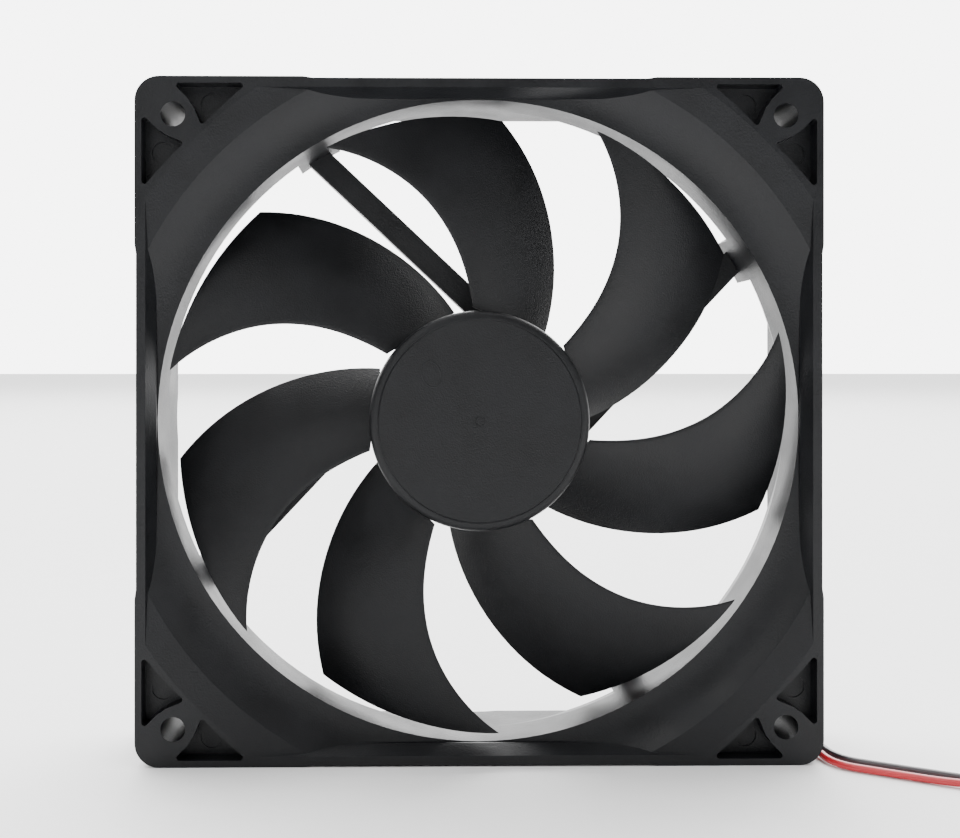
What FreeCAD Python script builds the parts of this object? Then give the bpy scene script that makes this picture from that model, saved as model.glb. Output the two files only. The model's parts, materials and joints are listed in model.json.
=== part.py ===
import FreeCAD, Part
import math
import os

import Sketcher
from FreeCAD import Placement, Rotation, Vector

# A 140 mm axial case fan. Every sub-part is drawn with Y as its depth behind the frame's front
# face, and its Placement then moves it forward by half the frame's depth, so that the origin
# is on the rotor's axis in the middle of the frame. X is to the right seen from the intake,
# Z is up, and air flows towards +Y. Angles are counter-clockwise seen from the intake.

DIMENSIONS = {
    # Frame: outline, flanges and screw columns
    "frame_width": 140.0,
    "frame_depth": 25.0,
    "corner_radius": 5.0,
    "relief_depth": 0.3,
    "relief_half": 34.0,
    "flange_thickness": 5.5,
    "barrel_radius": 68.4,
    "hole_pitch": 124.5,
    "hole_diameter": 5.0,
    "column_radius": 4.4,
    # Frame: inlet, bore and outlet
    "throat_radius": 66.2,
    "lip_depth": 4.3,
    "annulus_radius": 81.5,
    "annulus_depth": 0.8,
    "funnel_radius": 76.0,
    "funnel_arc": 15.5,
    "rim_front": 67.8,
    "rim_back": 66.3,
    "rim_depth": 3.55,
    "flare_start": 14.3,
    "flare_radius": 69.2,
    "outlet_flat": 66.0,
    # Frame: lightening pockets beside each screw hole, seen from the hole's own corner
    "pocket_depth": 4.0,
    "pocket_edge": 68.6,
    "pocket_corner": 0.6,
    "pocket_end": 47.0,
    "pocket_inner_radius": 82.3,
    "pocket_tip": 56.5,
    "ejector_radius": 2.3,
    "ejector_depth": 0.3,
    "ejector_along": 55.0,
    "ejector_across": 65.0,
    # Frame: struts and motor base
    "strut_count": 4,
    "strut_angle": 46.7,
    "strut_offset": 17.9,
    "strut_width": 5.1,
    "strut_front": 20.0,
    "strut_rear": 24.5,
    "strut_start": 12.0,
    "strut_end": 66.0,
    "root_angle": 31.0,
    "root_width": 9.8,
    "base_radius": 23.0,
    "base_wall": 1.2,
    "base_front": 19.8,
    "base_floor": 22.3,
    "base_rear": 24.6,
    "socket_radius": 6.0,
    "label_radius": 19.5,
    "label_recess": 0.4,
    "channel_width": 3.4,
    "channel_front": 19.2,
    "channel_floor": 22.4,
    "channel_end": 76.0,
    # Impeller
    "hub_radius": 22.65,
    "hub_face": 1.0,
    "hub_step": 0.3,
    "hub_disc_radius": 20.9,
    "hub_bevel": 1.6,
    "hub_wall": 1.45,
    "hub_end": 18.5,
    "gate_radius": 1.1,
    "gate_width": 0.35,
    "gate_depth": 0.2,
    "blade_count": 7,
    "tip_radius": 64.35,
    "tip_corner": 1.9,
    "sweep_centre": 44.0,
    "sweep_span": 22.0,
    "lead_middle": 153.1,
    "lead_lean": 13.85,
    "lead_hook": 5.15,
    "lead_curl": 0.45,
    "trail_middle": 119.8,
    "trail_lean": 17.3,
    "trail_hook": -0.5,
    "trail_curl": 1.35,
    "lead_depth_hub": 5.8,
    "lead_depth_tip": 3.3,
    "trail_depth_hub": 18.0,
    "trail_depth_tip": 15.7,
    "blade_camber": 0.35,
    "blade_root_thickness": 2.0,
    "blade_tip_thickness": 1.3,
    "trail_share": 0.4,
    # Rotor: yoke, magnet and shaft
    "yoke_radius": 21.1,
    "yoke_wall": 0.8,
    "yoke_end": 14.5,
    "magnet_radius": 20.25,
    "magnet_bore": 18.0,
    "magnet_front": 5.0,
    "magnet_end": 14.0,
    "shaft_radius": 1.5,
    "shaft_end": 19.4,
    "shaft_groove": 0.35,
    "boss_radius": 4.0,
    "boss_end": 5.1,
    "slinger_radius": 3.6,
    "slinger_thickness": 0.4,
    "clip_radius": 2.5,
    "clip_front": 18.45,
    "clip_thickness": 0.4,
    # Bearing
    "tube_radius": 4.25,
    "tube_bore": 3.22,
    "tube_front": 5.9,
    "bearing_bore": 1.53,
    "bearing_radius": 3.2,
    "bearing_front": 7.0,
    "bearing_end": 18.05,
    "seal_bore": 1.85,
    "seal_front": 6.1,
    "seal_end": 6.8,
    "thrust_front": 19.8,
    "thrust_end": 20.6,
    # Stator
    "stack_radius": 17.5,
    "stack_bore": 4.3,
    "stack_front": 6.5,
    "stack_end": 12.5,
    "lamination_count": 12,
    "lamination_thickness": 0.48,
    "stack_core": 7.5,
    "slot_outer": 15.8,
    "slot_mouth": 2.4,
    "pole_width": 5.0,
    "bobbin_thickness": 1.0,
    "bobbin_wall": 0.5,
    "bobbin_core": 8.0,
    "bobbin_rim": 2.4,
    "bobbin_flange": 15.4,
    "bobbin_end": 16.3,
    "coil_inner": 8.6,
    "coil_outer": 14.9,
    "coil_thickness": 1.5,
    # Driver board
    "board_radius": 16.4,
    "board_front": 16.2,
    "board_thickness": 1.0,
    "pin_circle": 6.3,
    "pin_side": 0.4,
    "pin_hole_gap": 0.15,
    "pin_rear": 18.0,
    "joint_radius": 1.0,
    "joint_height": 0.7,
    # Leads and connector
    "lead_diameter": 1.5,
    "coil_centre_x": 112.0,
    "coil_centre_y": -19.0,
    "coil_ring": 8.5,
    "coil_half_width": 3.3,
    "coil_half_height": 2.4,
    "floor_height": -70.0,
    "housing_width": 7.4,
    "housing_length": 12.0,
    "housing_height": 5.75,
    "housing_centre_x": 119.5,
    "housing_front": -3.0,
    "contact_pitch": 2.54,
    "contact_side": 2.0,
    "contact_wall": 0.25,
    "contact_gap": 0.03,
    "crimp_gap": 0.02,
}

doc = FreeCAD.newDocument("case_fan")
dims = doc.addObject("Spreadsheet::Sheet", "dims")
for row, (alias, millimetres) in enumerate(DIMENSIONS.items(), 1):
    dims.set(f"A{row}", alias)
    dims.set(f"B{row}", str(millimetres))
    dims.setAlias(f"B{row}", alias)
doc.recompute()

STEP_FILES = []


def value(formula):
    """What a formula of the sheet's dimensions comes to now."""
    return float(dims.evalExpression(str(formula)))


def finish_in_place(obj, name):
    """Names a sub-part that stays where it is drawn, and notes it for export."""
    obj.Label = name
    STEP_FILES.append((name, obj))
    return obj


def finish(obj, name):
    """Names a sub-part, moves it forward by half the frame's depth, and notes it for export."""
    obj.setExpression("Placement.Base.y", "-dims.frame_depth / 2")
    return finish_in_place(obj, name)


# ---- Sketches ------------------------------------------------------------------------------


def body(name):
    """An empty body whose Label and name are the sub-part's."""
    made = doc.addObject("PartDesign::Body", name)
    made.Label = name
    return made


def sketch(owner, name, plane="XZ_Plane", depth=None, turn=None):
    """A sketch in a body: across the axis at a depth, or in the XY plane for a turned profile."""
    made = owner.newObject("Sketcher::SketchObject", name)
    support = next(f for f in owner.Origin.OriginFeatures if f.Role == plane)
    made.AttachmentSupport = [(support, "")]
    made.MapMode = "FlatFace"
    if turn is not None:
        made.AttachmentOffset = Placement(Vector(), Rotation(Vector(0, 0, 1), value(turn)))
        made.setExpression("AttachmentOffset.Rotation.Angle", turn)
    if depth is not None:
        made.setExpression("AttachmentOffset.Base.z", f"-({depth})")
    return made


def hold(made, index, position, x, y):
    """Binds a sketch point's two coordinates to formulas."""
    for kind, formula in (("DistanceX", x), ("DistanceY", y)):
        made.addConstraint(Sketcher.Constraint(kind, -1, 1, index, position, value(formula)))
        made.setExpression(f"Constraints[{made.ConstraintCount - 1}]", str(formula))


def outline(made, corners, arcs=None):
    """A closed outline through the corners. An arc leaves corner n with arcs[n] = radius,
    which is positive where the arc bends left on its way to the next corner."""
    arcs = arcs or {}
    points = [Vector(value(x), value(y), 0) for x, y in corners]
    ends = []
    for n, start in enumerate(points):
        stop = points[(n + 1) % len(points)]
        if n not in arcs:
            ends.append((made.addGeometry(Part.LineSegment(start, stop)), 1, 2))
            continue
        radius = value(arcs[n])
        half = (stop - start) * 0.5
        side = Vector(-half.y, half.x, 0).normalize() * math.copysign(1, radius)
        centre = start + half + side * math.sqrt(radius**2 - half.Length**2)
        angles = [math.atan2(p.y - centre.y, p.x - centre.x) for p in (start, stop)]
        if radius < 0:
            angles.reverse()
        circle = Part.Circle(centre, Vector(0, 0, 1), abs(radius))
        index = made.addGeometry(Part.ArcOfCircle(circle, angles[0], angles[1]))
        made.addConstraint(Sketcher.Constraint("Radius", index, abs(radius)))
        made.setExpression(f"Constraints[{made.ConstraintCount - 1}]", f"abs({arcs[n]})")
        ends.append((index, 1, 2) if radius > 0 else (index, 2, 1))
    for n, (index, first, last) in enumerate(ends):
        after, after_first, _ = ends[(n + 1) % len(ends)]
        made.addConstraint(Sketcher.Constraint("Coincident", index, last, after, after_first))
        hold(made, index, first, *corners[n])


def circle(made, radius, x="0", y="0"):
    """A circle whose centre and radius are formulas."""
    index = made.addGeometry(Part.Circle(Vector(value(x), value(y), 0), Vector(0, 0, 1), value(radius)))
    made.addConstraint(Sketcher.Constraint("Radius", index, value(radius)))
    made.setExpression(f"Constraints[{made.ConstraintCount - 1}]", str(radius))
    hold(made, index, 3, x, y)


def box_outline(made, x_from, x_to, y_from, y_to):
    """A rectangle between two pairs of formulas."""
    outline(made, [(x_from, y_from), (x_to, y_from), (x_to, y_to), (x_from, y_to)])


# ---- Features ------------------------------------------------------------------------------


def grows(owner, feature, sign):
    """Recomputes, and stops if the feature didn't add (+1) or remove (-1) any volume."""
    before = owner.Shape.Volume if owner.Shape.Solids else 0.0
    owner.Tip = feature
    doc.recompute()
    if (owner.Shape.Volume - before) * sign <= 1e-6:
        raise RuntimeError(f"{feature.Name} changes nothing: {before} to {owner.Shape.Volume}")
    return feature


def pad(owner, profile, length, name):
    """Adds material from the sketch towards the rear."""
    made = owner.newObject("PartDesign::Pad", name)
    made.Profile = profile
    made.Reversed = True
    made.setExpression("Length", length)
    return grows(owner, made, +1)


def bar(owner, profile, length, name):
    """Adds material on both sides of a sketch in the XY plane."""
    made = owner.newObject("PartDesign::Pad", name)
    made.Profile = profile
    made.SideType = "Symmetric"
    made.setExpression("Length", length)
    return grows(owner, made, +1)


def pocket(owner, profile, length, name):
    """Removes material from the sketch towards the rear."""
    made = owner.newObject("PartDesign::Pocket", name)
    made.Profile = profile
    made.setExpression("Length", length)
    return grows(owner, made, -1)


def turned(owner, profile, name, removes=False):
    """Turns a profile of radius and depth about the fan's axis."""
    made = owner.newObject("PartDesign::Groove" if removes else "PartDesign::Revolution", name)
    made.Profile = profile
    made.ReferenceAxis = (profile, ["V_Axis"])
    made.Angle = 360
    return grows(owner, made, -1 if removes else +1)


def all_round(owner, feature, count, name, sign):
    """Repeats a feature round the fan's axis."""
    made = owner.newObject("PartDesign::PolarPattern", name)
    made.Originals = [feature]
    made.Axis = (feature.Profile[0], ["N_Axis"])
    if feature.Profile[0].AttachmentSupport[0][0].Role == "XY_Plane":
        made.Axis = (feature.Profile[0], ["V_Axis"])
    made.Angle = 360
    made.setExpression("Occurrences", count)
    return grows(owner, made, sign)


def turned_part(name, corners, arcs=None):
    """A sub-part that is one turned profile of (radius, depth) corners."""
    owner = body(name)
    profile = sketch(owner, f"{name}_profile", "XY_Plane")
    outline(profile, corners, arcs)
    turned(owner, profile, f"{name}_turned")
    return finish(owner, name)


def tube_part(name, bore, radius, front, rear):
    """A plain ring or disc between two depths."""
    corners = [(bore, front), (radius, front), (radius, rear), (bore, rear)]
    return turned_part(name, corners)


def cylinder(name, radius, front, length):
    """A cylinder along Y, centred on the axis until it is given another place."""
    made = doc.addObject("Part::Cylinder", name)
    made.Placement = Placement(Vector(), Rotation(Vector(1, 0, 0), -90))
    made.setExpression("Radius", radius)
    made.setExpression("Height", length)
    made.setExpression("Placement.Base.y", front)
    return made


def block(name, x_from, x_to, y_from, y_to, z_from, z_to):
    """A box between three pairs of formulas."""
    made = doc.addObject("Part::Box", name)
    for size, axis, low, high in (
        ("Length", "x", x_from, x_to),
        ("Width", "y", y_from, y_to),
        ("Height", "z", z_from, z_to),
    ):
        made.setExpression(size, f"({high}) - ({low})")
        made.setExpression(f"Placement.Base.{axis}", low)
    return made


def joined(name, *shapes):
    """The shapes as one."""
    made = doc.addObject("Part::MultiFuse", name)
    made.Shapes = list(shapes)
    made.Refine = True
    return made


def cut(name, base, tool):
    """The base without the tool."""
    made = doc.addObject("Part::Cut", name)
    made.Base = base
    made.Tool = tool
    return made


def quarter_turns(name, source):
    """The source and three copies, a quarter turn apart round the fan's axis."""
    doc.recompute()
    copies = []
    for quarter in range(4):
        copy = doc.addObject("Part::Feature", f"{name}_{quarter}")
        copy.Shape = source.Shape.copy()
        turn = Placement(Vector(), Rotation(Vector(0, 1, 0), -90.0 * quarter))
        copy.Placement = turn.multiply(source.Shape.Placement)
        copies.append(copy)
    return copies


# ---- Frame ---------------------------------------------------------------------------------


def build_frame():
    frame = body("frame")
    half = "dims.frame_width / 2"
    depth = "dims.frame_depth"

    square = sketch(frame, "frame_square", depth="0")
    box_outline(square, f"-({half})", half, f"-({half})", half)
    blank = pad(frame, square, depth, "frame_blank")

    corners = frame.newObject("PartDesign::Fillet", "frame_corners")
    upright = [
        f"Edge{n}"
        for n, edge in enumerate(blank.Shape.Edges, 1)
        if edge.BoundBox.XLength < 0.01 and edge.BoundBox.ZLength < 0.01
    ]
    corners.Base = (blank, upright)
    corners.setExpression("Radius", "dims.corner_radius")
    grows(frame, corners, -1)

    # The outlet: a flare in the corners only, because each side keeps a flat wall
    flare = sketch(frame, "flare_profile", "XY_Plane")
    inner = "dims.throat_radius - 6"
    outline(
        flare,
        [
            (inner, "dims.flare_start"),
            ("dims.throat_radius", "dims.flare_start"),
            ("dims.flare_radius", depth),
            (inner, depth),
        ],
    )
    turned(frame, flare, "outlet_flare", removes=True)
    wall = sketch(frame, "outlet_wall_profile", "XY_Plane")
    box_outline(wall, "dims.outlet_flat", half, "dims.flare_start", depth)
    side_length = "dims.frame_width - 2 * dims.corner_radius"
    outlet_wall = bar(frame, wall, side_length, "outlet_wall")
    all_round(frame, outlet_wall, "4", "outlet_walls", +1)
    root = sketch(frame, "strut_root_outline", depth="dims.flare_start", turn="dims.root_angle")
    across = ("-dims.root_width / 2", "dims.root_width / 2")
    box_outline(root, "dims.throat_radius - 3", "dims.flare_radius + 0.4", *across)
    strut_root = pad(frame, root, "dims.strut_rear - dims.flare_start", "strut_root")
    all_round(frame, strut_root, "dims.strut_count", "strut_roots", +1)

    # The inlet: a shallow annulus, the funnel's arc, and the bore right through
    inlet = sketch(frame, "inlet_profile", "XY_Plane")
    outline(
        inlet,
        [
            ("0", "-1"),
            ("dims.annulus_radius", "-1"),
            ("dims.annulus_radius", "0"),
            ("dims.funnel_radius", "dims.annulus_depth"),
            ("dims.throat_radius", "dims.lip_depth"),
            ("dims.throat_radius", f"{depth} + 1"),
            ("0", f"{depth} + 1"),
        ],
        {3: "dims.funnel_arc"},
    )
    turned(frame, inlet, "inlet_and_bore", removes=True)
    rim = sketch(frame, "rim_profile", "XY_Plane")
    outline(
        rim,
        [
            ("dims.rim_front", "0"),
            (half, "0"),
            (half, "dims.lip_depth + 0.7"),
            ("dims.rim_back", "dims.lip_depth + 0.7"),
            ("dims.rim_back", "dims.rim_depth"),
        ],
    )
    inlet_rim = bar(frame, rim, side_length, "inlet_rim")
    all_round(frame, inlet_rim, "4", "inlet_rims", +1)

    # Open space between the two flanges, with a column round each screw hole
    flange = "dims.flange_thickness"
    between = f"{depth} - 2 * {flange}"
    gap = sketch(frame, "flange_gap_outline", depth=flange)
    box_outline(gap, f"-({half} + 2)", f"{half} + 2", f"-({half} + 2)", f"{half} + 2")
    circle(gap, "dims.barrel_radius")
    pocket(frame, gap, between, "flange_gap")
    hole_at = "dims.hole_pitch / 2"
    column = sketch(frame, "column_outline", depth=flange)
    circle(column, "dims.column_radius", hole_at, hole_at)
    screw_column = pad(frame, column, between, "screw_column")
    all_round(frame, screw_column, "4", "screw_columns", +1)
    hole = sketch(frame, "hole_outline", depth="0")
    circle(hole, "dims.hole_diameter / 2", hole_at, hole_at)
    screw_hole = pocket(frame, hole, depth, "screw_hole")
    all_round(frame, screw_hole, "4", "screw_holes", -1)

    add_corner_pockets(frame, "front", "0")
    add_corner_pockets(frame, "rear", f"{depth} - dims.pocket_depth")
    round_pocket_corners(frame)
    add_base_and_struts(frame)

    relief = sketch(frame, "relief_outline", depth="0")
    shallow = f"{half} - dims.relief_depth"
    outline(
        relief,
        [
            (f"{half} + 1", "-dims.relief_half - 2"),
            (f"{half} + 1", "dims.relief_half + 2"),
            (half, "dims.relief_half + 2"),
            (shallow, "dims.relief_half"),
            (shallow, "-dims.relief_half"),
            (half, "-dims.relief_half - 2"),
        ],
    )
    side_relief = pocket(frame, relief, depth, "side_relief")
    all_round(frame, side_relief, "4", "side_reliefs", -1)
    return finish(frame, "frame")


def add_corner_pockets(frame, face, depth):
    """Two lightening pockets beside each screw hole, mirrored about the corner's diagonal.

    Each is bounded by the flange's rim, by the inlet's arc, and by a rib as wide as the screw
    column that runs out to the corner. A shallow ejector mark lies in its floor."""
    hole = "dims.hole_pitch / 2"
    rib = "dims.column_radius * sqrt(2) / 2"
    edge = "dims.pocket_edge"
    end = "dims.pocket_end"
    tip = "dims.pocket_tip"
    tip_across = "sqrt(dims.pocket_inner_radius^2 - dims.pocket_tip^2)"
    rib_end = f"{edge} - 2 * {rib}"
    # The tangent from the pocket's tip to the column's circle
    touch = 22.0
    touch_along = f"{hole} - dims.column_radius * cos({touch})"
    touch_across = f"{hole} + dims.column_radius * sin({touch})"
    route = [
        (rib_end, edge),
        (end, edge),
        (tip, tip_across),
        (touch_along, touch_across),
        (f"{hole} - {rib}", f"{hole} + {rib}"),
    ]
    for mirrored in (False, True):
        name = f"{face}_pocket_{'b' if mirrored else 'a'}"
        made = sketch(frame, f"{name}_outline", depth=depth)
        corners = [(y, x) for x, y in route] if mirrored else route
        inner_sign, column_sign = ("", "-") if mirrored else ("-", "")
        inner, column = f"{inner_sign}(dims.pocket_inner_radius)", f"{column_sign}(dims.column_radius)"
        outline(made, corners, {1: inner, 3: column})
        cut_out = pocket(frame, made, "dims.pocket_depth", name)
        all_round(frame, cut_out, "4", f"{name}s", -1)
        floor = f"{depth} + dims.pocket_depth" if face == "front" else f"{depth} - dims.ejector_depth"
        mark = sketch(frame, f"{name}_mark_outline", depth=floor)
        spot = ("dims.ejector_along", "dims.ejector_across")
        circle(mark, "dims.ejector_radius", *(reversed(spot) if mirrored else spot))
        ejector = pocket(frame, mark, "dims.ejector_depth", f"{name}_mark")
        all_round(frame, ejector, "4", f"{name}_marks", -1)


def round_pocket_corners(frame):
    """Rounds the sharp upright edges of every corner pocket."""
    edges = []
    for n, edge in enumerate(frame.Shape.Edges, 1):
        box = edge.BoundBox
        as_deep = abs(edge.Length - value("dims.pocket_depth")) < 0.01
        if max(box.XLength, box.ZLength) > 0.01 or not as_deep:
            continue
        middle = edge.valueAt((edge.FirstParameter + edge.LastParameter) / 2)
        normals = []
        for face in frame.Shape.ancestorsOfType(edge, Part.Face):
            u, v = face.Surface.parameter(middle)
            normals.append(face.normalAt(u, v))
        if len(normals) == 2 and normals[0].getAngle(normals[1]) > math.radians(60):
            edges.append(f"Edge{n}")
    pocketed = frame.Tip
    rounding = frame.newObject("PartDesign::Fillet", "pocket_corners")
    rounding.Base = (pocketed, edges)
    rounding.setExpression("Radius", "dims.pocket_corner")
    print(len(edges), "pocket corners rounded")
    grows(frame, rounding, +1)


def add_base_and_struts(frame):
    """Four struts that carry the motor base behind the rotor. One is a channel for the leads."""
    near = "dims.strut_offset - dims.strut_width / 2"
    far = "dims.strut_offset + dims.strut_width / 2"
    made = sketch(frame, "strut_outline", depth="dims.strut_front", turn="dims.strut_angle")
    box_outline(made, "dims.strut_start", "dims.strut_end", f"-({far})", f"-({near})")
    strut = pad(frame, made, "dims.strut_rear - dims.strut_front", "strut")
    all_round(frame, strut, "dims.strut_count", "struts", +1)

    base = sketch(frame, "motor_base_profile", "XY_Plane")
    outline(
        base,
        [
            ("0", "dims.base_floor"),
            ("dims.base_radius - dims.base_wall", "dims.base_floor"),
            ("dims.base_radius - dims.base_wall", "dims.base_front"),
            ("dims.base_radius", "dims.base_front"),
            ("dims.base_radius", "dims.base_rear - 0.5"),
            ("dims.base_radius - 0.5", "dims.base_rear"),
            ("dims.label_radius", "dims.base_rear"),
            ("dims.label_radius", "dims.base_rear - dims.label_recess"),
            ("0", "dims.base_rear - dims.label_recess"),
        ],
    )
    turned(frame, base, "motor_base")
    socket = sketch(frame, "tube_socket_outline", depth="dims.base_front + 0.6")
    circle(socket, "dims.socket_radius")
    circle(socket, "dims.tube_radius + 0.02")
    pad(frame, socket, "dims.base_floor - dims.base_front - 0.6", "tube_socket")

    lead_strut = "dims.strut_angle - 90"
    channel = sketch(frame, "channel_outline", depth="dims.channel_front", turn=lead_strut)
    half = "dims.channel_width / 2"
    sides = (f"-dims.strut_offset - {half}", f"-dims.strut_offset + {half}")
    box_outline(channel, "dims.strut_start - 3", "dims.channel_end", *sides)
    pocket(frame, channel, "dims.channel_floor - dims.channel_front", "lead_channel")


# ---- Impeller ------------------------------------------------------------------------------


def edge_angle(edge, radius):
    """The angle of a blade's leading or trailing edge ("lead" or "trail") at a radius."""
    step = (radius - value("dims.sweep_centre")) / value("dims.sweep_span")
    middle, lean, hook, curl = (value(f"dims.{edge}_{part}") for part in ("middle", "lean", "hook", "curl"))
    return middle + lean * step + hook * step**2 + curl * step**3


def between_hub_and_tip(at_hub, at_tip, radius):
    """A size that changes evenly from the hub to the blade's tip."""
    hub, tip = value("dims.hub_radius"), value("dims.tip_radius")
    share = (radius - hub) / (tip - hub)
    return value(f"dims.{at_hub}") * (1 - share) + value(f"dims.{at_tip}") * share


def blade_point(radius, along, side):
    """A point of the blade's skin: along is 0 at the leading edge and 1 at the trailing edge,
    and side is +1 on the face that pushes the air, 0 in the middle and -1 on the other face."""
    lead, trail = edge_angle("lead", radius), edge_angle("trail", radius)
    front = between_hub_and_tip("lead_depth_hub", "lead_depth_tip", radius)
    rear = between_hub_and_tip("trail_depth_hub", "trail_depth_tip", radius)
    camber = value("dims.blade_camber")
    arc = math.radians(lead + (trail - lead) * along) * radius
    depth = front + (rear - front) * (along - camber * along * (1 - along))
    arc_slope = math.radians(trail - lead) * radius
    depth_slope = (rear - front) * (1 - camber * (1 - 2 * along))
    slope = math.hypot(arc_slope, depth_slope)
    thickest, tail = 0.3, value("dims.trail_share")
    if along < thickest:
        fullness = math.sqrt(max(0.0, 1 - (1 - along / thickest) ** 2))
    else:
        fullness = 1 - (1 - tail) * ((along - thickest) / (1 - thickest)) ** 2
    half = between_hub_and_tip("blade_root_thickness", "blade_tip_thickness", radius) / 2 * fullness
    arc += side * half * depth_slope / slope
    depth -= side * half * arc_slope / slope
    return arc / radius, depth


def skin_point(radius, along, side, flat=None):
    """The point in space, at the radius, or where the blade meets a plane: flat is the plane's
    direction from the axis, and radius is then its distance."""
    angle, depth = blade_point(radius, along, side)
    if flat is not None:
        reach = radius
        for _ in range(30):
            angle, depth = blade_point(reach, along, side)
            reach = radius / math.cos(angle - flat)
        radius = reach
    return Vector(radius * math.cos(angle), depth, radius * math.sin(angle))


def blade_section(radius, is_end):
    """One closed section of the blade: a smooth curve from the trailing edge round the nose and
    back, and the blunt trailing edge. The first and last sections lie in a plane."""
    flat = None
    if is_end:
        flat = math.radians((edge_angle("lead", radius) + edge_angle("trail", radius)) / 2)
    stations = 11
    alongs = [1 - math.cos(math.pi / 2 * n / (stations - 1)) for n in range(stations)]
    route = [(along, +1) for along in reversed(alongs)] + [(along, -1) for along in alongs[1:]]
    points = [skin_point(radius, along, side, flat) for along, side in route]
    curve = Part.BSplineCurve()
    curve.interpolate(points)
    return Part.Wire([curve.toShape(), Part.makeLine(points[-1], points[0])])


def tip_corner_tool():
    """What is cut from the pointed end of the leading edge to round it."""
    tip, radius = value("dims.tip_radius"), value("dims.tip_corner")
    centre_radius = tip - radius

    def lead(at):
        angle = math.radians(edge_angle("lead", at))
        return Vector(at * math.cos(angle), 0, at * math.sin(angle))

    edge = [lead(tip - 0.1 * n) for n in range(120)]
    angle = math.radians(edge_angle("lead", tip))
    while True:
        centre = Vector(centre_radius * math.cos(angle), 0, centre_radius * math.sin(angle))
        nearest = min(edge, key=lambda point: (point - centre).Length)
        if (nearest - centre).Length >= radius and angle < math.radians(edge_angle("lead", centre_radius)):
            break
        angle -= math.radians(0.02)
    outward = Vector(centre).normalize()
    to_edge = (nearest - centre).normalize()
    middle = (outward + to_edge).normalize()
    on_tip, on_edge = centre + outward * radius, centre + to_edge * radius
    arc = Part.Arc(on_tip, centre + middle * radius, on_edge).toShape()
    beyond = centre + middle * radius * 6
    clear_tip, clear_edge = on_tip + outward * 2, on_edge + to_edge * 2
    route = [on_edge, clear_edge, beyond, clear_tip, on_tip]
    sides = [Part.makeLine(a, b) for a, b in zip(route, route[1:])]
    face = Part.Face(Part.Wire([arc, *sides]))
    face.translate(Vector(0, -1, 0))
    return face.extrude(Vector(0, value("dims.frame_depth") + 2, 0))


def build_impeller():
    hub = body("hub")
    profile = sketch(hub, "hub_profile", "XY_Plane")
    radius, bore = "dims.hub_radius", "dims.hub_radius - dims.hub_wall"
    stepped = "dims.hub_face + dims.hub_step"
    outline(
        profile,
        [
            ("0", "dims.hub_face"),
            ("dims.hub_disc_radius - dims.hub_step", "dims.hub_face"),
            ("dims.hub_disc_radius", stepped),
            (f"{radius} - dims.hub_bevel", stepped),
            (radius, f"{stepped} + dims.hub_bevel"),
            (radius, "dims.hub_end"),
            (bore, "dims.hub_end"),
            (bore, "dims.hub_face + dims.hub_wall"),
            ("0", "dims.hub_face + dims.hub_wall"),
        ],
        {3: "dims.hub_bevel"},
    )
    turned(hub, profile, "hub_cup")
    gate = sketch(hub, "gate_outline", depth="dims.hub_face")
    circle(gate, "dims.gate_radius")
    circle(gate, "dims.gate_radius - dims.gate_width")
    pocket(hub, gate, "dims.gate_depth", "gate_ring")

    hub_radius, tip = value("dims.hub_radius"), value("dims.tip_radius")
    radii = [hub_radius - 0.9, 27, 33, 39, 45, 51, 57, 62, tip + 0.8]
    sections = [blade_section(radius, radius in (radii[0], radii[-1])) for radius in radii]
    loft = Part.makeLoft(sections, True, False)
    root = hub_radius - value("dims.hub_wall") / 2
    depth, towards_rear = value("dims.frame_depth"), Vector(0, 1, 0)
    span = Part.makeCylinder(tip, depth, Vector(), towards_rear).cut(
        Part.makeCylinder(root, depth, Vector(), towards_rear)
    )
    shape = loft.common(span).cut(tip_corner_tool()).Solids[0]
    blades = []
    for number in range(int(value("dims.blade_count"))):
        blade = doc.addObject("Part::Feature", f"blade_{number + 1}")
        blade.Shape = shape
        blade.Placement = Placement(Vector(), Rotation(Vector(0, 1, 0), 0))
        blade.setExpression("Placement.Rotation.Angle", f"{number} * 360 / dims.blade_count")
        blades.append(blade)
    return finish(joined("impeller", hub, *blades), "impeller")


# ---- Rotor: yoke, magnet and shaft -----------------------------------------------------------


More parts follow.
